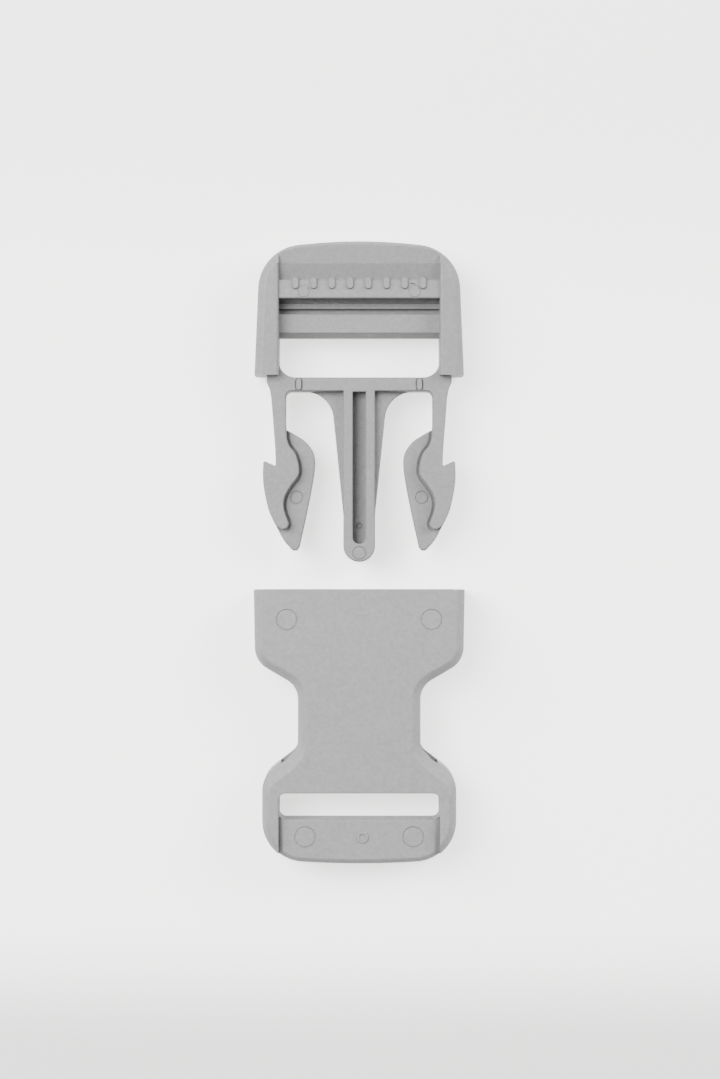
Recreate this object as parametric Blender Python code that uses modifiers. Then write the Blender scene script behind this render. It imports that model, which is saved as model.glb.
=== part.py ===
"""Side-release buckle for 25 mm webbing, lying unfastened: a plug with two spring arms, and a socket.

Sizes are in millimetres, and MM turns them into Blender's metres. X runs across the webbing, Y along it
from the socket to the plug, and Z up from the surface that both halves lie on. Each half is drawn from its
own datum line, Y = 0: the ends of the plug's rails, and the mouth of the socket. The two lines meet when
the buckle is fastened. A corner of an outline is (x, y, radius), and an outline lists its right-hand side.
"""

import math

import bmesh
import bpy
from mathutils import Matrix, Vector

MM = 0.001
ARC_STEP = math.radians(15)
SPLINE_STEPS = 4
WELD = 0.002
SMOOTH_UP_TO = math.radians(35)

# Both halves: 25 mm webbing sets the width of the two slots, and the rest follows from it
WEBBING_SLOT = 26.9
THICKNESS = 9.6
MIDDLE = THICKNESS / 2
RIM_ROUND = 0.8
LIGHT_ROUND = 0.35
PLUG_DATUM = 29.6
SOCKET_DATUM = -6.27

# Plug: the frame that holds and tightens the webbing
RAIL_END_HALF = 17.48
RAIL_TOP_HALF = 16.59
PLUG_TOP = 22.3
PLUG_CORNER = 7.5
PLUG_CROWN = 85.0
CROWN_REACH = 8.8
RAIL_ROUND = 1.2

# Plug: the two bars between the rails, cut across, as (y, z, radius). The grip bar slopes down to a valley
# and rises to a lip, which overhangs the way of the webbing. The lower bar has two ledges below the
# lip, and a chamfer along the window
GRIP_BAR = ((24.0, 9.2, 0), (22.0, 9.2, 0), (18.6, 8.7, 0), (15.95, 7.6, 0), (15.95, 8.9, 0.15),
            (12.75, 9.0, 0.35), (12.75, 7.3, 0.3), (17.5, 6.4, 0.6), (17.9, 0.6, 0.5), (24.0, 0.6, 0))
LOWER_BAR = ((13.1, 5.05, 0.1), (12.3, 5.0, 0), (12.2, 5.4, 0.1), (11.25, 5.35, 0), (11.15, 4.2, 0),
             (10.5, 4.1, 0), (10.3, 6.6, 0.25), (7.15, 6.6, 0.2), (6.4, 4.9, 0.3), (6.5, 0.6, 0.5),
             (13.1, 0.6, 0.5))

# Plug: the level parts that enter the socket, and the thin webs between them
LEVEL_THICKNESS = 5.4
WEB_THICKNESS = 1.8
CROSSBAR_TOP = -0.35
CROSSBAR_BOTTOM = -2.65
CROSSBAR_CORNER = 2.8
CROSSBAR_FILLET = 1.0
CORNER_TOP = 2.9
NUB_HALF = 15.4
NUB_OUTER_END = -1.2
NUB_INNER_END = -2.2
PRONG_RIB_OUTER = 2.65
PRONG_RIB_INNER = 1.1
PRONG_TIP = -31.2
CHANNEL_TOP = -2.8
CHANNEL_TIP = -28.2
CHANNEL_FLOOR = (3.9, 4.5)
CHANNEL_BEYOND = 0.3
WEB_HALF = 9.5
WEB_SIDE = ((4.77, -2.7, 4.6), (2.6, -24.5, 0), (2.1, -28.5, 0))

# Plug: small raised ribs
GRIP_RIDGES = 8
GRIP_PITCH = 3.04
GRIP_WIDTH = 1.25
GRIP_FROM = 14.25
GRIP_TO = 16.35
GRIP_TOP = 9.3
LIP_INSIDE = 7.1
BEARING_X = 10.1
BEARING_WIDTH = 0.92
BEARING_LENGTH = 2.0
BEARING_HEIGHT = 0.25

# Spring arms: each bends at its neck, where a narrow gap and a hinge axis stand for the bend
NECK_OUTER = 14.72
NECK_INNER = 12.3
ARM_GAP = 0.3
HINGE_X = 13.6
HINGE_Y = -3.75
NECK_INNER_END = -8.0
PLATE_INNER_END = (13.3, -8.6, 0)
ARM_OUTSIDE = ((14.4, -9.0, 0), (14.15, -12.5, 0), (14.0, -15.2, 0.2), (15.8, -14.35, 0))
HOOK_BACK = ((16.07, -14.6), (16.12, -17.2), (15.84, -19.6), (15.14, -22.6), (14.07, -25.0))
TIP_BACK = ((13.79, -25.6), (12.7, -27.6), (11.5, -29.0))
TIP = ((11.1, -29.35, 0), (10.4, -29.35, 0))
ARM_INSIDE = ((9.98, -28.75), (8.97, -24.2), (7.95, -19.15), (7.4, -15.4), (7.55, -13.2), (8.3, -11.8),
              (9.26, -10.8), (10.44, -10.05), (11.7, -9.3))
RIB_INSIDE = ((12.9, -25.8), (12.25, -25.6), (11.85, -24.8), (12.4, -23.2), (12.7, -21.7), (12.4, -20.1),
              (11.4, -18.4), (10.3, -16.9), (10.1, -15.4), (10.66, -13.2), (11.7, -11.8), (12.15, -10.6))

# Socket: the outline narrows to a waist at the arms' finger pads, and widens again to the foot
SOCKET_HALF = 17.6
WAIST_HALF = 10.23
FOOT_HALF = 16.2
SHOULDER = (17.4, -11.93, 4.2)
WAIST_TOP = (WAIST_HALF, -16.1, 3.7)
WAIST_BOTTOM = (WAIST_HALF, -26.55, 2.7)
HIP = (FOOT_HALF, -31.0, 5.2)
SOCKET_LENGTH = 45.8
SOCKET_CROWN = 155.0
FOOT_REACH = 8.9
FOOT_CORNER = 7.0
SLOT_TOP = -33.9
SLOT_CORNER = 1.2
FOOT_BAR_TOP = -38.31
FOOT_BAR_RECESS = 1.3
BAR_INSET = 0.05
BAR_SEAT = 0.6

# Socket: the hollow between its two plates
PLATE = 1.75
MOUTH_HALF = 15.75
MOUTH_END = -2.6
LATCH_TOP = (15.3, -3.4, 0)
LATCH_HALF = 14.65
LATCH_END = -13.03
OPEN_SIDE = 22.0
SIDE_WINDOW_BOTTOM = -28.3
ARM_POCKET_HALF = 13.1
ARM_POCKET_BOTTOM = -30.13
ARM_POCKET_OUTER_ROUND = 1.0
ARM_POCKET_INNER_ROUND = 0.6
GUIDE_OUTER = 4.55
GUIDE_INNER = 3.4
GUIDE_TOP = -18.73
PRONG_POCKET_BOTTOM = -32.18
PRONG_POCKET_ROUND = 2.4
CUT_BEYOND = 3.0

for old in list(bpy.data.objects):
    bpy.data.objects.remove(old)

parts = bpy.data.collections.new("side_release_buckle")
tools = bpy.data.collections.new("side_release_buckle_tools")
bpy.context.scene.collection.children.link(parts)
bpy.context.scene.collection.children.link(tools)


def material(name, colour, roughness):
    """Moulded plastic with a plain colour."""
    plastic = bpy.data.materials.new(name)
    plastic.use_nodes = True
    shader = plastic.node_tree.nodes["Principled BSDF"]
    shader.inputs["Base Color"].default_value = (*colour, 1)
    shader.inputs["Roughness"].default_value = roughness
    shader.inputs["Metallic"].default_value = 0
    return plastic


def both_sides(right):
    """The corners of a whole outline from those of its right-hand side, listed from top to bottom."""
    return right + [(-x, y, radius) for x, y, radius in reversed(right)]


def rounded(corners):
    """The points of a closed outline, with an arc at each corner that has a radius."""
    points = []
    for i, (x, y, radius) in enumerate(corners):
        corner = Vector((x, y))
        if radius == 0:
            points.append(corner)
            continue
        to_last = (Vector(corners[i - 1][:2]) - corner).normalized()
        to_next = (Vector(corners[(i + 1) % len(corners)][:2]) - corner).normalized()
        half = to_last.angle(to_next) / 2
        centre = corner + (to_last + to_next).normalized() * radius / math.sin(half)
        spoke = corner + to_last * radius / math.tan(half) - centre
        turn = math.copysign(math.pi - 2 * half, to_next.cross(to_last))
        steps = max(1, round(abs(turn) / ARC_STEP))
        for k in range(steps + 1):
            points.append(centre + Matrix.Rotation(turn * k / steps, 2) @ spoke)
    return [point for i, point in enumerate(points) if (point - points[i - 1]).length > WELD]


def smooth(points):
    """Corners along a smooth curve through a few points, without arcs of their own."""
    ends = [2 * Vector(points[0]) - Vector(points[1]), 2 * Vector(points[-1]) - Vector(points[-2])]
    knots = [ends[0], *map(Vector, points), ends[1]]
    curve = []
    for a, b, c, d in zip(knots, knots[1:], knots[2:], knots[3:]):
        for k in range(SPLINE_STEPS):
            t = k / SPLINE_STEPS
            curve.append((2 * b + (c - a) * t + (2 * a - 5 * b + 4 * c - d) * t**2
                          + (3 * b - a - 3 * c + d) * t**3) / 2)
    curve.append(knots[-2])
    return [(point.x, point.y, 0) for point in curve]


def crown(half_reach, top, radius):
    """Corners along the right-hand half of a shallow arc, from its middle outwards."""
    steps = 3
    reaches = [half_reach * (k + 0.5) / (steps + 0.5) for k in range(steps + 1)]
    return [(x, top - math.copysign(x * x / (2 * radius), top), 0) for x in reaches]


def crown_line(half_reach, top, radius, x):
    """The height, at x, of the straight line that carries on from the end of a crown."""
    return top - math.copysign(half_reach * (x - half_reach / 2) / radius, top)


def capsule(x, y, width, length):
    """The outline of an upright slot with round ends."""
    half = width / 2
    reach = length / 2
    return rounded([(x + half, y + reach, half), (x + half, y - reach, half),
                    (x - half, y - reach, half), (x - half, y + reach, half)])


def prism(name, outlines, low, high, owner=None, origin=(0, 0), across=False):
    """A solid of one height from its outlines. Across, an outline is (y, z) and the solid runs along X."""
    curve = bpy.data.curves.new(name, "CURVE")
    curve.dimensions = "2D"
    curve.fill_mode = "BOTH"
    curve.extrude = (high - low) / 2 * MM
    for outline in outlines:
        spline = curve.splines.new("POLY")
        spline.points.add(len(outline) - 1)
        for point, (x, y) in zip(spline.points, outline):
            point.co = ((x - origin[0]) * MM, (y - origin[1]) * MM, 0, 1)
        spline.use_cyclic_u = True
    drawn = bpy.data.objects.new(name + "_outline", curve)
    tools.objects.link(drawn)
    bpy.context.view_layer.update()
    mesh = bpy.data.meshes.new_from_object(drawn.evaluated_get(bpy.context.evaluated_depsgraph_get()))
    bpy.data.objects.remove(drawn)
    mesh.transform(Matrix.Translation((0, 0, (low + high) / 2 * MM)))
    if across:
        mesh.transform(Matrix(((0, 0, 1, 0), (1, 0, 0, 0), (0, 1, 0, 0), (0, 0, 0, 1))))
    drawing = bmesh.new()
    drawing.from_mesh(mesh)
    bmesh.ops.remove_doubles(drawing, verts=drawing.verts, dist=WELD * MM)
    bmesh.ops.dissolve_limit(drawing, angle_limit=0.001, verts=drawing.verts, edges=drawing.edges)
    bmesh.ops.recalc_face_normals(drawing, faces=drawing.faces)
    drawing.to_mesh(mesh)
    drawing.free()
    solid = bpy.data.objects.new(name, mesh)
    if owner:
        tools.objects.link(solid)
        solid.parent = owner
        solid.hide_render = True
        solid.display_type = "WIRE"
    else:
        parts.objects.link(solid)
    return solid


def round_rims(solid, width, segments, light=lambda middle: 1):
    """Rounds the upper and lower rims of a prism. light gives the share of the width that an edge gets."""
    heights = [vertex.co.z for vertex in solid.data.vertices]
    weights = solid.data.attributes.new("bevel_weight_edge", "FLOAT", "EDGE")
    for edge, weight in zip(solid.data.edges, weights.data):
        ends = [solid.data.vertices[i].co for i in edge.vertices]
        if abs(ends[0].z - ends[1].z) < WELD * MM and {min(heights), max(heights)} & {ends[0].z}:
            weight.value = light((ends[0] + ends[1]) / 2 / MM)
    bevel = solid.modifiers.new("rims", "BEVEL")
    bevel.limit_method = "WEIGHT"
    bevel.width = width * MM
    bevel.segments = segments
    bevel.use_clamp_overlap = False


def at_datum(middle):
    """The light rounding of the edges along a half's own datum line."""
    return LIGHT_ROUND if abs(middle.y) < WELD else 1


def at_slot(middle):
    """The light rounding of the foot bar's edges along the webbing slot, and none where its ends turn."""
    return LIGHT_ROUND if middle.y > FOOT_BAR_TOP - WELD and abs(middle.x) < FOOT_HALF - 1 else 1


def combine(solid, operation, *others):
    """Cuts other solids out of one, or joins them to it."""
    for other in others:
        boolean = solid.modifiers.new(other.name, "BOOLEAN")
        boolean.operation = operation
        boolean.solver = "EXACT"
        boolean.object = other


def settle(solid, finish):
    """Turns the modifiers' result into the part's own mesh, smooth but for its sharp edges."""
    bpy.context.view_layer.update()
    mesh = bpy.data.meshes.new_from_object(solid.evaluated_get(bpy.context.evaluated_depsgraph_get()))
    solid.modifiers.clear()
    solid.data = mesh
    mesh.shade_smooth()
    mesh.set_sharp_from_angle(angle=SMOOTH_UP_TO)
    mesh.materials.clear()
    mesh.materials.append(finish)


def level(thickness):
    """The bottom and top of a plate in the middle of the buckle's thickness."""
    return MIDDLE - thickness / 2, MIDDLE + thickness / 2


def channel_outline(beyond):
    """The outline of the prong's channel, or one that reaches beyond it into the ribs."""
    half = PRONG_RIB_INNER + beyond
    return rounded(both_sides([(half, CHANNEL_TOP + beyond, 0), (half, CHANNEL_TIP - beyond, half)]))


def make_plug_frame(finish):
    """Rails, two bars, crossbar and guide prong, moulded as one."""
    side_slope = math.atan2(RAIL_END_HALF - RAIL_TOP_HALF, PLUG_TOP)
    corner_x = RAIL_END_HALF - math.tan(side_slope) * PLUG_TOP
    corner_y = crown_line(CROWN_REACH, PLUG_TOP, PLUG_CROWN, corner_x)
    outline = both_sides([*crown(CROWN_REACH, PLUG_TOP, PLUG_CROWN), (corner_x, corner_y, PLUG_CORNER),
                          (RAIL_END_HALF, 0, 0)])
    frame = prism("plug_frame", [rounded(outline)], 0, THICKNESS)
    frame.location.y = PLUG_DATUM * MM
    round_rims(frame, RAIL_ROUND, 3, at_datum)

    # All the room between the rails is cut away in one piece, with the two bars left out of the cutter
    top = THICKNESS + CUT_BEYOND
    beyond = PLUG_TOP + CUT_BEYOND
    around = [(-CUT_BEYOND, -CUT_BEYOND), (beyond, -CUT_BEYOND), (beyond, top), (-CUT_BEYOND, top)]
    half_slot = WEBBING_SLOT / 2
    sections = [around, rounded(GRIP_BAR), rounded(LOWER_BAR)]
    between_rails = prism("between_rails", sections, -half_slot, half_slot, frame, across=True)

    # The crossbar reaches into both rails, and rounds off the lower corners of the window
    low, high = level(LEVEL_THICKNESS)
    neck_end = HINGE_Y + ARM_GAP / 2
    crossbar = both_sides([
        (half_slot, CROSSBAR_TOP, CROSSBAR_CORNER), (half_slot, CORNER_TOP, 0), (NUB_HALF, CORNER_TOP, 0),
        (NUB_HALF, NUB_OUTER_END, 0), (NECK_OUTER, NUB_INNER_END, 0), (NECK_OUTER, neck_end, 0),
        (NECK_INNER, neck_end, 0), (NECK_INNER, CROSSBAR_BOTTOM, CROSSBAR_FILLET),
        (PRONG_RIB_OUTER, CROSSBAR_BOTTOM, 0), (PRONG_RIB_OUTER, PRONG_TIP, PRONG_RIB_OUTER)])
    ribs = prism("crossbar_and_prong_ribs", [rounded(crossbar), channel_outline(0)], low, high, frame)

    # A thin web flares out to the crossbar, and a thinner and lower floor closes the channel
    web = both_sides([(WEB_HALF, CROSSBAR_TOP - 1, 0), (WEB_HALF, WEB_SIDE[0][1], 0), *WEB_SIDE])
    round_channel = channel_outline(CHANNEL_BEYOND)
    prong_web = prism("prong_web", [rounded(web), round_channel], *level(WEB_THICKNESS), frame)
    channel_floor = prism("channel_floor", [channel_outline(2 * CHANNEL_BEYOND)], *CHANNEL_FLOOR, frame)

    first = -GRIP_PITCH * (GRIP_RIDGES - 1) / 2
    ridges = [capsule(first + GRIP_PITCH * i, (GRIP_FROM + GRIP_TO) / 2, GRIP_WIDTH, GRIP_TO - GRIP_FROM)
              for i in range(GRIP_RIDGES)]
    grip_ridges = prism("grip_ridges", ridges, LIP_INSIDE, GRIP_TOP, frame)
    bearings = [capsule(x, (CROSSBAR_TOP + CROSSBAR_BOTTOM) / 2, BEARING_WIDTH, BEARING_LENGTH)
                for x in (-BEARING_X, BEARING_X)]
    bearing_ribs = prism("bearing_ribs", bearings, MIDDLE, high + BEARING_HEIGHT, frame)

    combine(frame, "DIFFERENCE", between_rails)
    combine(frame, "UNION", ribs, prong_web, channel_floor, grip_ridges, bearing_ribs)
    settle(frame, finish)


def make_arm(name, side, finish):
    """A spring arm: a neck and a hooked rib on a thin plate. side is 1 on the right, -1 on the left."""
    neck_top = HINGE_Y - ARM_GAP / 2
    back = [(NECK_OUTER, neck_top, 0), *ARM_OUTSIDE, *smooth(HOOK_BACK)]
    neck_inside = [(NECK_INNER, NECK_INNER_END, 0), (NECK_INNER, neck_top, 0)]
    rib = rounded([*back, *smooth(RIB_INSIDE), *neck_inside])
    plate = rounded([*back, *smooth(TIP_BACK), *TIP, *smooth(ARM_INSIDE), PLATE_INNER_END])
    outlines = [[(side * x, y) for x, y in outline] for outline in (rib, plate)]
    hinge = (side * HINGE_X, HINGE_Y)
    arm = prism(name, [outlines[0]], *level(LEVEL_THICKNESS), origin=hinge)
    arm.location = Vector((side * HINGE_X, PLUG_DATUM + HINGE_Y, 0)) * MM
    thin_plate = prism(name + "_plate", [outlines[1]], *level(WEB_THICKNESS), arm, origin=hinge)
    combine(arm, "UNION", thin_plate)
    settle(arm, finish)


def make_socket(finish):
    """Two plates, side walls at the mouth, guides for the prong inside, and the webbing bar."""
    half_slot = WEBBING_SLOT / 2
    corner_y = crown_line(FOOT_REACH, -SOCKET_LENGTH, SOCKET_CROWN, FOOT_HALF)
    foot = [(FOOT_HALF, corner_y, FOOT_CORNER), *reversed(crown(FOOT_REACH, -SOCKET_LENGTH, SOCKET_CROWN))]
    body = both_sides([(SOCKET_HALF, 0, 0), SHOULDER, WAIST_TOP, WAIST_BOTTOM, HIP, *foot])
    socket = prism("socket", [rounded(body)], 0, THICKNESS)
    socket.location.y = SOCKET_DATUM * MM
    round_rims(socket, RIM_ROUND, 2, at_datum)

    # The webbing slot and the recess of the bar are cut as one, and a thinner bar goes back in
    notch = both_sides([(half_slot, SLOT_TOP, SLOT_CORNER), (half_slot, -SOCKET_LENGTH - CUT_BEYOND, 0)])
    above = THICKNESS + CUT_BEYOND
    slot_and_recess = prism("slot_and_recess", [rounded(notch)], -CUT_BEYOND, above, socket)
    inset = [(x - BAR_INSET, y + BAR_INSET, radius) for x, y, radius in foot]
    bar_end = FOOT_BAR_TOP + SLOT_CORNER + BAR_SEAT
    bar = both_sides([(half_slot - SLOT_CORNER, FOOT_BAR_TOP, 0), (half_slot + BAR_SEAT, bar_end, 0),
                      (FOOT_HALF - BAR_INSET, bar_end, 0), *inset])
    foot_bar = prism("foot_bar", [rounded(bar)], FOOT_BAR_RECESS, THICKNESS - FOOT_BAR_RECESS, socket)
    round_rims(foot_bar, RIM_ROUND, 2, at_slot)

    # The hollow: a hall behind the mouth, open sides at the waist, pockets for the arms, and a channel
    guide_round = (GUIDE_OUTER - GUIDE_INNER) / 2
    hollow = both_sides([
        (MOUTH_HALF, CUT_BEYOND, 0), (MOUTH_HALF, MOUTH_END, 0), LATCH_TOP, (LATCH_HALF, LATCH_END, 0),
        (OPEN_SIDE, LATCH_END, 0), (OPEN_SIDE, SIDE_WINDOW_BOTTOM, 0),
        (ARM_POCKET_HALF, SIDE_WINDOW_BOTTOM, 0),
        (ARM_POCKET_HALF, ARM_POCKET_BOTTOM, ARM_POCKET_OUTER_ROUND),
        (GUIDE_OUTER, ARM_POCKET_BOTTOM, ARM_POCKET_INNER_ROUND),
        (GUIDE_OUTER, GUIDE_TOP, guide_round), (GUIDE_INNER, GUIDE_TOP, guide_round),
        (GUIDE_INNER, PRONG_POCKET_BOTTOM, PRONG_POCKET_ROUND)])
    inside = prism("hollow", [rounded(hollow)], PLATE, THICKNESS - PLATE, socket)
    combine(socket, "DIFFERENCE", slot_and_recess, inside)
    combine(socket, "UNION", foot_bar)
    settle(socket, finish)


make_plug_frame(material("plug_plastic", (0.46, 0.462, 0.46), 0.55))
make_arm("left_arm", -1, material("left_arm_plastic", (0.46, 0.462, 0.46), 0.55))
make_arm("right_arm", 1, material("right_arm_plastic", (0.46, 0.462, 0.46), 0.55))
make_socket(material("socket_plastic", (0.465, 0.467, 0.465), 0.55))
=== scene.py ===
import math

import bmesh
import bpy
import numpy as np
from mathutils import Matrix, Vector


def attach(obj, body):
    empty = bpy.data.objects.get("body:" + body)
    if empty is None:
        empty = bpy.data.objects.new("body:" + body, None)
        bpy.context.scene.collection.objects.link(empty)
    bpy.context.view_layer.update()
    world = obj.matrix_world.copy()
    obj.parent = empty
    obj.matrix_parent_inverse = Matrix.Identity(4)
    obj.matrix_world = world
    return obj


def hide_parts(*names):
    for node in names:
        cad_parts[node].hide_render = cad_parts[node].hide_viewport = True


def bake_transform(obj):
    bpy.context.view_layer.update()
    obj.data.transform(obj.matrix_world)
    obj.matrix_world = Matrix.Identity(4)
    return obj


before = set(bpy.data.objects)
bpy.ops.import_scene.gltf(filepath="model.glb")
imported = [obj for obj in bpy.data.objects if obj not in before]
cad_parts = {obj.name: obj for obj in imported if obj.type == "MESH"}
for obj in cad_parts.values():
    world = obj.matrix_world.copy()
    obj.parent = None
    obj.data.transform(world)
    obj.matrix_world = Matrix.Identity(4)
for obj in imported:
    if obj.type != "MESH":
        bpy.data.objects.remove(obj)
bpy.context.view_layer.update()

# Plug frame: the half that holds and tightens the webbing. It is acetal, moulded in one, with two thick
# rails, a grip bar whose lip hangs over the webbing, a lower bar, a level crossbar, and a guide prong with a
# thin web. Its lengths are in millimetres from the plug's own datum line, at the ends of its rails.
MM = 0.001
PLUG_DATUM = 29.6
THICKNESS = 9.6
HALF_SLOT = 13.45
RAIL_END_HALF = 17.48
RAIL_TOP_HALF = 16.59
PLUG_TOP = 22.3
PLUG_CROWN = 85
CROWN_REACH = 8.8
LEVEL_LOW = 2.1
LEVEL_HIGH = 7.5
WEB_LOW = 3.9
WEB_HIGH = 5.7
FLOOR_HIGH = 4.9
PRONG_HALF = 2.65
PRONG_END = -31.2
CHANNEL_HALF = 1.1
NECK_CUT = -3.75
NECK_OUTER = 14.72
NECK_INNER = 12.3
RAIL_EASE = 0.45
RIDGES = 8
RIDGE_PITCH = 3.04
LIP_MARK = 9.05
PIN_DEPTH = 0.17
PLUG_GREY = (0.17, 0.1715, 0.17)


def both_sides(right):
    """The corners of a whole outline from those of its right-hand side, listed from top to bottom."""
    return right + [(-x, y, radius) for x, y, radius in reversed(right)]


def fillet(corners, step=6):
    """The points of a closed outline, with an arc at each corner that has a radius."""
    points = []
    for i, (x, y, radius) in enumerate(corners):
        corner = Vector((x, y))
        if radius == 0:
            points.append(corner)
            continue
        to_last = (Vector(corners[i - 1][:2]) - corner).normalized()
        to_next = (Vector(corners[(i + 1) % len(corners)][:2]) - corner).normalized()
        half = to_last.angle(to_next) / 2
        centre = corner + (to_last + to_next).normalized() * radius / math.sin(half)
        spoke = corner + to_last * radius / math.tan(half) - centre
        turn = math.copysign(math.pi - 2 * half, to_next.cross(to_last))
        count = max(2, round(abs(math.degrees(turn)) / step))
        for k in range(count + 1):
            points.append(centre + Matrix.Rotation(turn * k / count, 2) @ spoke)
    return [point for i, point in enumerate(points) if (point - points[i - 1]).length > 0.003]


def crown(half_reach, top, radius, count=7):
    """Corners along the right-hand half of a shallow arc, from its middle outwards."""
    reaches = [half_reach * (k + 0.5) / (count - 0.5) for k in range(count)]
    return [(x, top - math.copysign(x * x / (2 * radius), top), 0) for x in reaches]


def circle(x, y, radius, count=40):
    """The outline of a disc."""
    return [Vector((x + radius * math.cos(a), y - radius * math.sin(a)))
            for a in np.linspace(0, 2 * math.pi, count, endpoint=False)]


def capsule(x, y, width, length):
    """The outline of an upright slot with round ends."""
    half = width / 2
    reach = length / 2
    return fillet([(x + half, y + reach, half), (x + half, y - reach, half),
                   (x - half, y - reach, half), (x - half, y + reach, half)], 12)


def even(outline, spacing):
    """An outline with more points along its straight runs, but for the one on the datum line."""
    points = []
    for i, point in enumerate(outline):
        after = outline[(i + 1) % len(outline)]
        count = 1 if abs(point.y) + abs(after.y) < 0.001 else max(1, round((after - point).length / spacing))
        points.extend(point.lerp(after, k / count) for k in range(count))
    return points


def rims(low, high, width, height, steps=3, fall=2):
    """The rings of a plate with eased rims, as (inset, z). The easing drops with a power of the way out: 1 is
    a straight chamfer, and 2 a round that is level at its top. It may differ from point to point."""
    rings = [(share * width, high - (1 - share) ** fall * height) for share in np.linspace(0, 1, steps + 1)]
    return [(inset, low + high - z) for inset, z in reversed(rings)] + rings


def solid(name, outline, rings, datum=0, turn=None, cut=None):
    """A closed body from one outline, laid out once for each ring and capped at both ends. An edge that lies
    at the height of a cut isn't rounded."""
    points = np.array([tuple(point) for point in outline])
    ahead = np.roll(points, -1, axis=0) - points
    area = np.sum(points[:, 0] * np.roll(points[:, 1], -1) - np.roll(points[:, 0], -1) * points[:, 1])
    sides = np.column_stack((-ahead[:, 1], ahead[:, 0])) * math.copysign(1, area)
    sides /= np.linalg.norm(sides, axis=1, keepdims=True)
    before = np.roll(sides, 1, axis=0)
    inward = (sides + before) / (1 + np.sum(sides * before, axis=1, keepdims=True))
    if cut is not None:
        at_cut = np.abs(points[:, 1] - cut) < 0.001
        inward[at_cut, 1] = 0
        inward[at_cut, 0] = np.where(at_cut & np.roll(at_cut, -1), before[:, 0], sides[:, 0])[at_cut]
    count = len(points)
    corners = []
    for inset, z in rings:
        moved = points + inward * np.broadcast_to(inset, count)[:, None]
        corners.append(np.column_stack((moved[:, 0], moved[:, 1] + datum, np.broadcast_to(z, count))))
    corners = np.concatenate(corners) * MM
    faces = []
    for k in range(len(rings) - 1):
        for i in range(count):
            j = (i + 1) % count
            faces.append((k * count + i, k * count + j, (k + 1) * count + j, (k + 1) * count + i))
    faces.append(tuple(range(count)))
    faces.append(tuple(range((len(rings) - 1) * count, len(rings) * count)))
    mesh = bpy.data.meshes.new(name)
    mesh.from_pydata(corners.tolist(), [], faces)
    if turn:
        mesh.transform(turn)
    drawing = bmesh.new()
    drawing.from_mesh(mesh)
    bmesh.ops.remove_doubles(drawing, verts=drawing.verts, dist=0.0005 * MM)
    bmesh.ops.recalc_face_normals(drawing, faces=drawing.faces)
    drawing.to_mesh(mesh)
    drawing.free()
    body = bpy.data.objects.new(name, mesh)
    bpy.context.scene.collection.objects.link(body)
    return body


def merge(body, operation, others):
    """Cuts other bodies out of one, or joins them to it, and keeps only the result."""
    for other in others:
        boolean = body.modifiers.new(other.name, "BOOLEAN")
        boolean.operation = operation
        boolean.solver = "EXACT"
        boolean.object = other
        bpy.context.view_layer.update()
        mesh = bpy.data.meshes.new_from_object(body.evaluated_get(bpy.context.evaluated_depsgraph_get()))
        body.modifiers.clear()
        body.data = mesh
        bpy.data.objects.remove(other)


def press(body, marks, datum):
    """Sinks the marks of the mould's ejector pins, each (x, y, radius, z): a groove round a level disc."""
    for x, y, radius, z in marks:
        groove = solid("pin_mark", circle(x, y, radius, 64),
                       [(0.16, z - PIN_DEPTH), (0, z + 0.02), (-0.02, z + 1)], datum)
        disc = solid("disc", circle(x, y, radius - 0.35, 64),
                     [(-0.17, z - 1), (-0.17, z - PIN_DEPTH), (0.02, z - 0.03)], datum)
        merge(groove, "DIFFERENCE", [disc])
        merge(body, "DIFFERENCE", [groove])


def shade(body):
    """Smooth but for its sharp edges, with the normals of large faces kept over those of small ones."""
    body.data.shade_smooth()
    body.data.set_sharp_from_angle(angle=math.radians(32))
    weighted = body.modifiers.new("weighted", "WEIGHTED_NORMAL")
    weighted.keep_sharp = True
    weighted.weight = 80


class Value:
    """A shader socket, so that the sums of a material can be written as sums."""

    def __init__(self, tree, link):
        self.tree = tree
        self.link = link

    def node(self, kind, settings=(), **inputs):
        made = self.tree.nodes.new(kind)
        for name, value in dict(settings).items():
            setattr(made, name, value)
        for name, value in inputs.items():
            target = made.inputs[int(name[1:])] if name[0] == "_" else made.inputs[name.replace("_", " ")]
            if isinstance(value, Value):
                self.tree.links.new(value.link, target)
            else:
                target.default_value = value
        return made

    def sum(self, operation, a, b):
        return Value(self.tree, self.node("ShaderNodeMath", {"operation": operation}, _0=a, _1=b).outputs[0])

    def __add__(self, other):
        return self.sum("ADD", self, other)

    __radd__ = __add__

    def __mul__(self, other):
        return self.sum("MULTIPLY", self, other)

    __rmul__ = __mul__

    def __sub__(self, other):
        return self.sum("SUBTRACT", self, other)

    def __rsub__(self, other):
        return self.sum("SUBTRACT", other, self)


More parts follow.
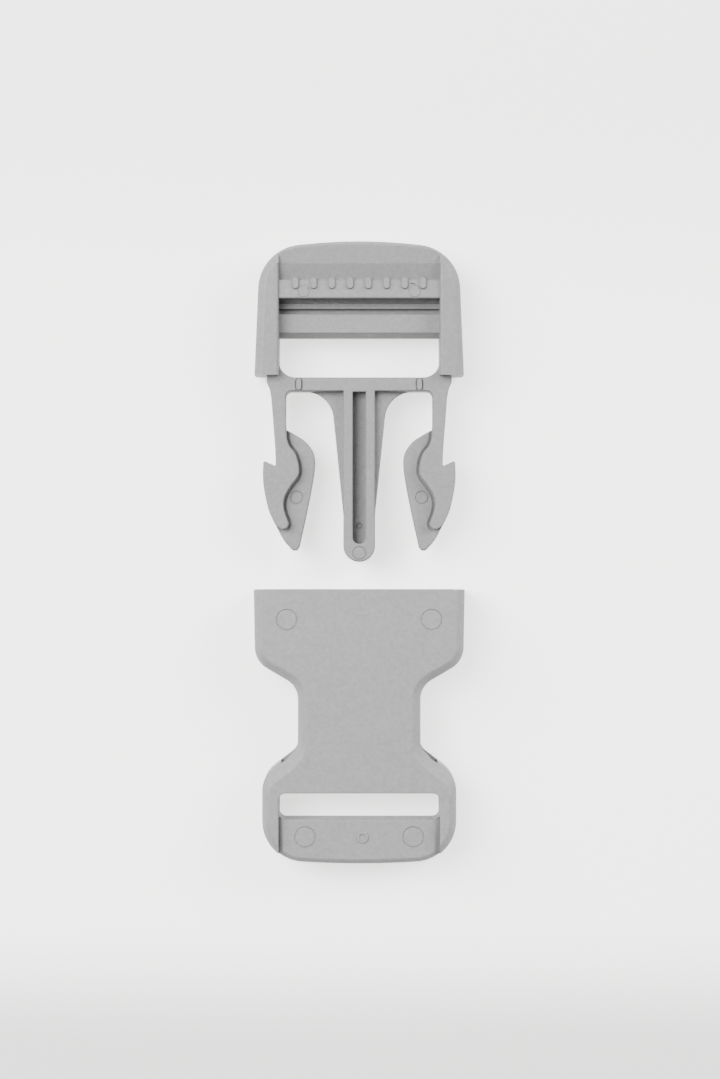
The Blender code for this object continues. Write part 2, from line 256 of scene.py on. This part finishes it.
def grey_acetal(name, base):
    """Grey acetal from a spark-eroded mould: fine matt grain, coarser mottling, and faint clouds of flow."""
    finish = bpy.data.materials.new(name)
    finish.use_nodes = True
    tree = finish.node_tree
    shader = tree.nodes["Principled BSDF"]
    place = Value(tree, tree.nodes.new("ShaderNodeTexCoord").outputs["Object"])
    grain, mottling, cloud = (
        Value(tree, place.node("ShaderNodeTexNoise", Vector=place, Scale=scale, Detail=detail).outputs["Fac"])
        for scale, detail in ((5200.0, 3.0), (1500.0, 2.0), (130.0, 2.0)))
    shadeness = 1 + (cloud - 0.5) * 0.1 + (mottling - 0.5) * 0.4 + (grain - 0.5) * 0.4
    colour = place.node("ShaderNodeVectorMath", {"operation": "SCALE"}, _0=base, Scale=shadeness)
    tree.links.new(colour.outputs[0], shader.inputs["Base Color"])
    roughness = 0.52 + (grain - 0.5) * 0.12
    tree.links.new(roughness.link, shader.inputs["Roughness"])
    relief = grain * 0.6 + mottling
    bump = place.node("ShaderNodeBump", Strength=0.6, Distance=0.00003, Height=relief)
    tree.links.new(bump.outputs[0], shader.inputs["Normal"])
    shader.inputs["IOR"].default_value = 1.48
    return finish


corner_y = PLUG_TOP - CROWN_REACH * (RAIL_TOP_HALF - CROWN_REACH / 2) / PLUG_CROWN
plug_line = even(fillet(both_sides([*crown(CROWN_REACH, PLUG_TOP, PLUG_CROWN), (RAIL_TOP_HALF, corner_y, 7.5),
                                    (RAIL_END_HALF, 0, 0)])), spacing=0.8)
plug_rims = rims(0, THICKNESS, width=1.35, height=1.1, steps=6, fall=1.7)
plug = solid("plug_moulding", plug_line, plug_rims, PLUG_DATUM, cut=0)

# The room between the rails is cut away in one piece, with the two bars left out of the cutter
grip_bar = fillet([
    (25.0, 9.15, 0), (21.5, 9.12, 3), (18.6, 8.72, 0.8), (15.95, 7.75, 0.12), (15.8, 8.9, 0.15),
    (12.75, 9.0, 0.3), (12.75, 7.3, 0.3), (17.5, 6.4, 0.6), (17.9, 0.6, 0.5), (25.0, 0.6, 0)])
lower_bar = fillet([
    (13.1, 5.05, 0.1), (12.3, 5.0, 0.05), (12.2, 5.4, 0.1), (11.25, 5.35, 0.1), (11.15, 4.2, 0.05),
    (10.5, 4.1, 0.05), (10.3, 6.6, 0.25), (7.15, 6.6, 0.25), (6.35, 4.9, 0.3), (6.5, 0.6, 0.5), (13.1, 0.6, 0.5)])
across = (Matrix.Translation((0, PLUG_DATUM * MM, 0))
          @ Matrix(((0, 0, 1, 0), (1, 0, 0, 0), (0, 1, 0, 0), (0, 0, 0, 1))))
room = solid("room", fillet([(-3, -3, 0), (26, -3, 0), (26, 13, 0), (-3, 13, 0)]),
             [(0, -HALF_SLOT), (0, HALF_SLOT)], turn=across)
merge(room, "DIFFERENCE", [solid("bar", section, [(0, -HALF_SLOT - 1), (0, HALF_SLOT + 1)], turn=across)
                           for section in (grip_bar, lower_bar)])
merge(plug, "DIFFERENCE", [room])

# The inner edges of the rails are eased, on top and below
along = Matrix(((1, 0, 0, 0), (0, 0, 1, 0), (0, 1, 0, 0), (0, 0, 0, 1)))
for side in (-1, 1):
    arc = [Vector((side * (HALF_SLOT + RAIL_EASE * (1 - math.sin(a))),
                   THICKNESS - RAIL_EASE * (1 - math.cos(a)))) for a in np.radians(np.linspace(0, 90, 7))]
    strip = arc + [Vector((side * (HALF_SLOT - 0.2), THICKNESS - RAIL_EASE)),
                   Vector((side * (HALF_SLOT - 0.2), THICKNESS + 0.5)),
                   Vector((side * (HALF_SLOT + RAIL_EASE), THICKNESS + 0.5))]
    turned = [Vector((point.x, THICKNESS - point.y)) for point in strip]
    span = [(0, PLUG_DATUM - 1), (0, PLUG_DATUM + 18.6)]
    merge(plug, "DIFFERENCE", [solid("ease_above", strip, span, turn=along),
                               solid("ease_below", turned, span, turn=along)])

# The crossbar and the prong are level above and below, and the prong has a channel along it
level_line = fillet(both_sides([
    (HALF_SLOT, -0.35, 2.8), (HALF_SLOT, 2.9, 0.35), (15.5, 2.9, 0), (15.5, -1.15, 0.3), (15.02, -2.2, 0.4),
    (NECK_OUTER, NECK_CUT, 0), (NECK_INNER, NECK_CUT, 0), (NECK_INNER, -2.65, 1.0),
    (PRONG_HALF, -2.65, 0.1), (PRONG_HALF, PRONG_END, PRONG_HALF)]))
level_rims = rims(LEVEL_LOW, LEVEL_HIGH, width=0.25, height=0.25)
level_plate = solid("level_plate", level_line, level_rims, PLUG_DATUM, cut=NECK_CUT)
channel_line = fillet(both_sides([(CHANNEL_HALF, -2.75, 0.1), (CHANNEL_HALF, -28.2, CHANNEL_HALF)]))
channel_rims = [(-0.12, 0), (-0.12, LEVEL_LOW), (0, LEVEL_LOW + 0.12), (0, LEVEL_HIGH - 0.12),
                (-0.12, LEVEL_HIGH), (-0.12, 9)]
merge(level_plate, "DIFFERENCE", [solid("channel", channel_line, channel_rims, PLUG_DATUM)])
web_line = fillet(both_sides([(9.5, -1.6, 0), (9.5, -2.7, 0), (4.77, -2.7, 4.6), (2.55, -24.5, 0),
                              (2.0, -28.6, 0)]))
web = solid("prong_web", web_line, rims(WEB_LOW, WEB_HIGH, width=0.2, height=0.2), PLUG_DATUM)
merge(web, "DIFFERENCE", [solid("channel", fillet(both_sides([(1.4, -2.45, 0), (1.4, -28.4, 1.4)])),
                                [(0, FLOOR_HIGH), (0, 9)], PLUG_DATUM)])
ridges = [solid("grip_ridge", capsule(RIDGE_PITCH * (i - (RIDGES - 1) / 2), 15.3, width=1.25, length=2.1),
                rims(7.1, 9.38, width=0.2, height=0.45), PLUG_DATUM) for i in range(RIDGES)]
merge(plug, "UNION", [level_plate, web, *ridges])

# Two small bearing ribs on the crossbar stand in shallow grooves
for x in (-10.1, 10.1):
    groove = solid("rib_groove", capsule(x, -1.5, width=1.24, length=2.24),
                   [(0.1, LEVEL_HIGH - 0.22), (-0.05, LEVEL_HIGH + 0.02), (-0.06, 9)], PLUG_DATUM)
    merge(plug, "DIFFERENCE", [groove])
    rib = solid("bearing_rib", capsule(x, -1.5, width=0.88, length=1.94),
                rims(4.8, LEVEL_HIGH + 0.28, width=0.12, height=0.2), PLUG_DATUM)
    merge(plug, "UNION", [rib])

# Specks of flash on the ledge below the lip, a small flaw between two ridges, and the pins' marks
merge(plug, "UNION", [solid("flash", circle(x, 12.1, 0.42, 16), [(0, 4.7), (0, 5.37)], PLUG_DATUM)
                      for x in (-7.3, -5.3, -3.95)])
flaw = solid("flaw", capsule(0, 0, 0.32, 0.9), [(0, 8.6), (0, 9.3)],
             turn=Matrix.Translation((9.0 * MM, (PLUG_DATUM + 15.15) * MM, 0)) @ Matrix.Rotation(1.35, 4, "Z"))
merge(plug, "DIFFERENCE", [flaw])
press(plug, [(-9.26, 13.9, 1.15, LIP_MARK), (9.26, 13.9, 1.15, LIP_MARK), (0.04, -29.77, 1.25, LEVEL_HIGH),
             (0.03, -25.2, 0.6, FLOOR_HIGH)], PLUG_DATUM)
shade(plug)
plug.data.materials.append(grey_acetal("plug_acetal", PLUG_GREY))
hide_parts("plug_frame")
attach(plug, "plug")

# Spring arms: a tall rib with a hook on a thin plate, moulded with the frame; on the real buckle they bend at the
# neck. The hook catches behind the socket's side wall, and the curved plate guides the arm past it.
HINGE_X = 13.6
ARM_OUTSIDE = [(14.32, -9.0, 3), (14.05, -12.5, 0), (13.95, -15.2, 0.2), (15.8, -14.35, 0)]
HOOK_BACK = [(16.07, -14.6), (16.12, -17.2), (15.84, -19.6), (15.14, -22.6), (14.07, -25.0)]
TIP_BACK = [(13.79, -25.6), (12.7, -27.6), (11.5, -29.0)]
TIP = [(11.1, -29.35, 0.35), (10.4, -29.35, 0.35)]
ARM_INSIDE = [(9.98, -28.75), (8.97, -24.2), (7.95, -19.15), (7.4, -15.4), (7.55, -13.2), (8.3, -11.8),
              (9.26, -10.8), (10.44, -10.05), (11.7, -9.3)]
RIB_INSIDE = [(12.9, -25.8), (12.25, -25.6), (11.85, -24.8), (12.4, -23.2), (12.7, -21.7), (12.4, -20.1),
              (11.4, -18.4), (10.3, -16.9), (10.1, -15.4), (10.66, -13.2), (11.7, -11.8), (12.15, -10.6)]


def through(points, steps=6):
    """Corners along a smooth curve through a few points."""
    ends = [2 * Vector(points[0]) - Vector(points[1]), 2 * Vector(points[-1]) - Vector(points[-2])]
    knots = [ends[0], *map(Vector, points), ends[1]]
    curve = []
    for a, b, c, d in zip(knots, knots[1:], knots[2:], knots[3:]):
        for k in range(steps):
            t = k / steps
            curve.append((2 * b + (c - a) * t + (2 * a - 5 * b + 4 * c - d) * t**2
                          + (3 * b - a - 3 * c + d) * t**3) / 2)
    curve.append(knots[-2])
    return [(point.x, point.y, 0) for point in curve]


for name, side in (("left_arm", -1), ("right_arm", 1)):
    back = [(NECK_OUTER, NECK_CUT, 0), *ARM_OUTSIDE, *through(HOOK_BACK)]
    rib_line = fillet([*back, *through(RIB_INSIDE), (NECK_INNER, -8.0, 2), (NECK_INNER, NECK_CUT, 0)])
    rib_line = [Vector((side * point.x, point.y)) for point in rib_line]
    plate_line = fillet([*back, *through(TIP_BACK), *TIP, *through(ARM_INSIDE), (13.3, -8.6, 0)])
    plate_line = [Vector((side * point.x, point.y)) for point in plate_line]
    rib_rims = rims(LEVEL_LOW, LEVEL_HIGH, width=0.2, height=0.2)
    arm = solid(name + "_moulding", rib_line, rib_rims, PLUG_DATUM, cut=NECK_CUT)
    plate_rims = [(inset + 0.02, z) for inset, z in rims(WEB_LOW, WEB_HIGH, width=0.3, height=0.3)]
    plate = solid("arm_plate", plate_line, plate_rims, PLUG_DATUM)
    foot_groove = [(-0.08, WEB_HIGH - 0.33), (-0.55, WEB_HIGH + 0.02), (-0.57, WEB_HIGH + 1)]
    merge(plate, "DIFFERENCE", [solid("foot_groove", rib_line, foot_groove, PLUG_DATUM)])
    merge(arm, "UNION", [plate])
    press(arm, [(side * 10.55, -20.43, 1.22, WEB_HIGH)], PLUG_DATUM)
    shade(arm)
    arm.data.materials.append(grey_acetal(name + "_acetal", PLUG_GREY))
    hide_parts(name)
    x = side * HINGE_X * MM
    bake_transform(arm)

# Socket: two plates moulded as one box in acetal, open at the mouth and at both sides of the waist, with a
# recessed bar for the webbing at the foot. Its rims are rounded, and its lower shoulders bevelled further.
# Its lengths are in millimetres from its own datum line, at its mouth.
SOCKET_DATUM = -6.27
PLATE = 1.75
BAR_LOW = 1.3
BAR_MIDDLE = -41.33
BAR_WALL_END = -43.6
SOCKET_FOOT = -45.8
SOCKET_CROWN = 155
FOOT_HALF = 16.2
FOOT_REACH = 8.9
PIN_RADIUS = 1.87
SOCKET_GREY = (0.188, 0.19, 0.188)
foot_corner = SOCKET_FOOT + FOOT_REACH * (FOOT_HALF - FOOT_REACH / 2) / SOCKET_CROWN
foot = [(FOOT_HALF, foot_corner, 7.0), *reversed(crown(FOOT_REACH, SOCKET_FOOT, SOCKET_CROWN))]
socket_line = even(fillet(both_sides([(17.6, 0, 0), (17.4, -11.93, 4.2), (10.23, -16.1, 3.7),
                                      (10.23, -26.55, 2.7), (FOOT_HALF, -31.0, 5.2), *foot])), spacing=0.5)
level = np.array([point.y for point in socket_line])
places = [-34, -31.6, -30.1, -28.1, -26.6, -25, -16, -12]
width = np.interp(level, places, [1.3, 1.7, 2.2, 2.2, 1.7, 1.5, 1.5, 1.4])
height = np.interp(level, places, [1.15, 1.3, 1.6, 2.1, 1.4, 1.2, 1.2, 1.1])
fall = np.interp(level, [-34, -31, -27.5, -26], [1.7, 1.1, 1.1, 1.7])
under = rims(0, THICKNESS, width=1.0, height=0.8, steps=6)
over = rims(0, THICKNESS, width, height, steps=6, fall=fall)
socket = solid("socket_moulding", socket_line, under[:7] + over[7:], SOCKET_DATUM, cut=0)

notch = fillet(both_sides([(HALF_SLOT, -33.9, 1.2), (HALF_SLOT, -48.2, 0)]))
flare = [(-0.25, -3), (-0.25, 0), (-0.07, 0.07), (0, 0.25), (0, THICKNESS - 0.25), (-0.07, THICKNESS - 0.07),
         (-0.25, THICKNESS), (-0.25, THICKNESS + 3)]
hollow = fillet(both_sides([
    (15.75, 3, 0), (15.75, -2.6, 0), (15.3, -3.4, 0), (14.65, -13.03, 0), (22, -13.03, 0), (22, -28.2, 0),
    (13.1, -28.2, 0.2), (13.1, -30.13, 1.0), (4.55, -30.13, 0.6), (4.55, -18.73, 0.57), (3.4, -18.73, 0.57),
    (3.4, -32.18, 2.4)]))
merge(socket, "DIFFERENCE", [solid("notch", notch, flare, SOCKET_DATUM),
                             solid("hollow", hollow, [(0, PLATE), (0, THICKNESS - PLATE)], SOCKET_DATUM)])

# The bar for the webbing lies a little lower than the frame, and dips where it meets the frame on each side
bar_top = THICKNESS - BAR_LOW
inset_foot = [(x - 0.05, y + 0.05, radius) for x, y, radius in foot]
bar_line = even(fillet(both_sides([(HALF_SLOT + 0.02, -38.31, 1.2), (HALF_SLOT + 0.02, -36.5, 0),
                                   (16.15, -36.5, 0), *inset_foot])), spacing=0.8)
bar_rim = np.array([0.25 if point.y > -39.1 else 0.9 for point in bar_line])
bar_rims = rims(BAR_LOW, bar_top, bar_rim, bar_rim * 0.8, steps=5)
merge(socket, "UNION", [solid("foot_bar", bar_line, bar_rims, SOCKET_DATUM)])
for side in (-1, 1):
    dip = [Vector((side * x, bar_top + z)) for x, z in ((HALF_SLOT + 0.01, 0.02), (HALF_SLOT + 0.01, -0.4),
                                                        (12.6, 0.02))]
    span = [(0, SOCKET_DATUM + BAR_WALL_END), (0, SOCKET_DATUM - 37.9)]
    merge(socket, "DIFFERENCE", [solid("bar_dip", dip, span, turn=along)])

# The pins' marks, and a plain moulded ring on the bar
press(socket, [(x, -4.99, PIN_RADIUS, THICKNESS) for x in (-12.06, 12.06)], SOCKET_DATUM)
press(socket, [(x, BAR_MIDDLE, PIN_RADIUS, bar_top) for x in (-9.03, 9.03)], SOCKET_DATUM)
ring = solid("ring", circle(0.57, BAR_MIDDLE, radius=1.0), [(0, 8.0), (0, 8.4), (0.08, 8.5)], SOCKET_DATUM)
merge(ring, "DIFFERENCE", [solid("ring_hole", circle(0.57, BAR_MIDDLE, radius=0.6), [(0, 7.5), (0, 8.6)],
                                 SOCKET_DATUM)])
merge(socket, "UNION", [ring])
shade(socket)
socket.data.materials.append(grey_acetal("socket_acetal", SOCKET_GREY))
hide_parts("socket")
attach(socket, "socket")

# Table: a plain pale sheet with painted shade that darkens its near and far ends, where the studio's light falls
# off.
# It also glows a little, a painted light that keeps the shadows on it soft.
TABLE_SIZE = 1.6
bpy.ops.mesh.primitive_plane_add(size=TABLE_SIZE, location=(0, 0, 0))
table = bpy.context.active_object
table.name = "table"
sheet = bpy.data.materials.new("pale_sheet")
sheet.use_nodes = True
sheet_shader = sheet.node_tree.nodes["Principled BSDF"]
spot = Value(sheet.node_tree, sheet.node_tree.nodes.new("ShaderNodeTexCoord").outputs["Object"])
away = Value(sheet.node_tree, spot.node("ShaderNodeSeparateXYZ", Vector=spot).outputs["Y"])
# Painted shade: the sheet's colour and glow are darkened towards its near and far ends.
near_painted_shade, far_painted_shade = (
    Value(sheet.node_tree, spot.node("ShaderNodeMapRange", {"interpolation_type": "SMOOTHSTEP"}, Value=away,
                                     From_Min=start, From_Max=end, To_Min=first, To_Max=last).outputs["Result"])
    for start, end, first, last in ((-0.084, -0.062, 0.55, 1.0), (0.02, 0.08, 1.0, 0.86)))
painted_falloff = near_painted_shade * far_painted_shade
for socket_name, colour in (("Base Color", (0.88, 0.865, 0.852)), ("Emission Color", (1, 0.98, 0.965))):
    painted_falloff_tint = spot.node("ShaderNodeVectorMath", {"operation": "SCALE"}, _0=colour, Scale=painted_falloff)
    sheet.node_tree.links.new(painted_falloff_tint.outputs[0], sheet_shader.inputs[socket_name])
# Painted light: the sheet glows, though it is no lamp, so that the shadows on it stay soft.
sheet_shader.inputs["Emission Strength"].default_value = 1.65
sheet_shader.inputs["Roughness"].default_value = 0.9
table.data.materials.append(sheet)

# Studio light: a soft key above and a little to the left, one lamp on each side of the far end, and a dim
# room around them.
world = bpy.data.worlds.new("studio")
bpy.context.scene.world = world
world.use_nodes = True
world.node_tree.nodes["Background"].inputs["Color"].default_value = (1, 1, 1, 1)
world.node_tree.nodes["Background"].inputs["Strength"].default_value = 0.45
LAMP_WIDTH = 0.6
for name, place, power in (("soft_key", (-0.366, 0.211, 0.795), 13.8),
                           ("far_left", (-0.638, 0.369, 0.516), 9.6),
                           ("far_right", (0.638, 0.369, 0.516), 12.0)):
    lamp_data = bpy.data.lights.new(name, "AREA")
    lamp_data.shape = "DISK"
    lamp_data.size = LAMP_WIDTH
    lamp_data.energy = power
    lamp = bpy.data.objects.new(name, lamp_data)
    lamp.location = place
    lamp.rotation_euler = (-lamp.location).to_track_quat("-Z", "Y").to_euler()
    bpy.context.scene.collection.objects.link(lamp)

# Camera: straight above, half a metre up, and a little beyond the middle of the buckle.
SENSOR = 24
VIEW_DEG = 20.76
camera_data = bpy.data.cameras.new("camera")
camera_data.sensor_fit = "VERTICAL"
camera_data.sensor_height = SENSOR
camera_data.lens = SENSOR / (2 * math.tan(math.radians(VIEW_DEG) / 2))
camera = bpy.data.objects.new("camera", camera_data)
camera.location = (0.00013, 0.00214, 0.5)
bpy.context.scene.collection.objects.link(camera)
bpy.context.scene.camera = camera
